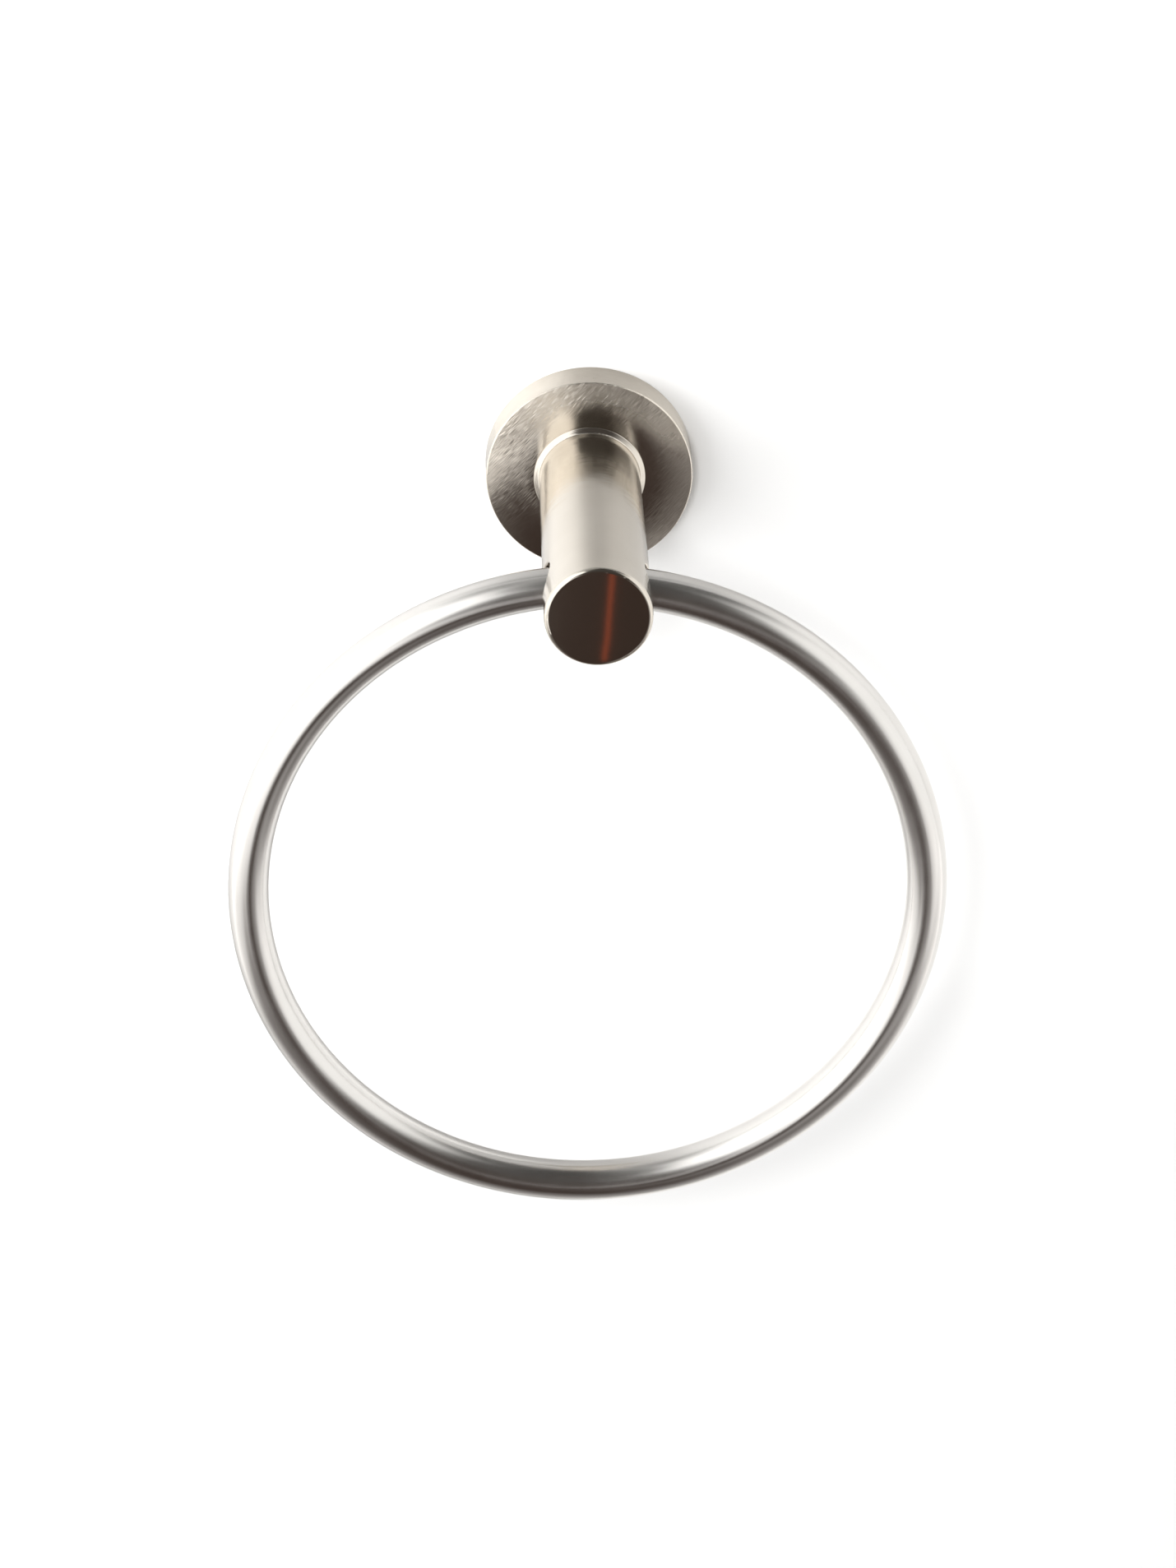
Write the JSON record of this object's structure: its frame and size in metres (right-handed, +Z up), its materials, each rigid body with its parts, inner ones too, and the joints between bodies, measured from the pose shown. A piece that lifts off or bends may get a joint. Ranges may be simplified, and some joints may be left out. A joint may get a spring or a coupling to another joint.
{
  "type": "towel ring",
  "caption": "Wall-mounted towel ring: a round flange and turned post in brushed nickel carry a swinging ring of bent rod.",
  "frame": {"origin": "on the wall plane, behind the middle of the flange", "axes": "+Z up, +Y into the wall, so the front faces -Y; X along the cross-hole that the ring hangs in"},
  "size_m": [0.178, 0.0865, 0.1983],
  "materials": {
    "satin_nickel": "fine satin nickel, warm",
    "brushed_nickel": "coarser brushed nickel",
    "satin_steel": "satin steel, cooler than the post",
    "cast_zinc": "as cast, dull grey",
    "plated_steel": "bright zinc plating",
    "spring_steel": "dark oiled spring steel",
    "black_steel": "black oxide"
  },
  "bodies": {
    "mount": {"wall_bracket": "cast_zinc", "flange": "brushed_nickel", "post": "satin_nickel", "clamp_washer": "plated_steel", "lock_washer": "spring_steel", "post_screw": "plated_steel", "grub_screw": "black_steel"},
    "ring": {"ring": "satin_steel"}
  },
  "joints": [
    {"name": "ring_swing", "type": "hinge", "parent": "mount", "child": "ring", "pos_m": [0, -0.0703, 0], "axis": [-1, 0, 0], "range_deg": [-22.5, 202.5]}
  ]
}
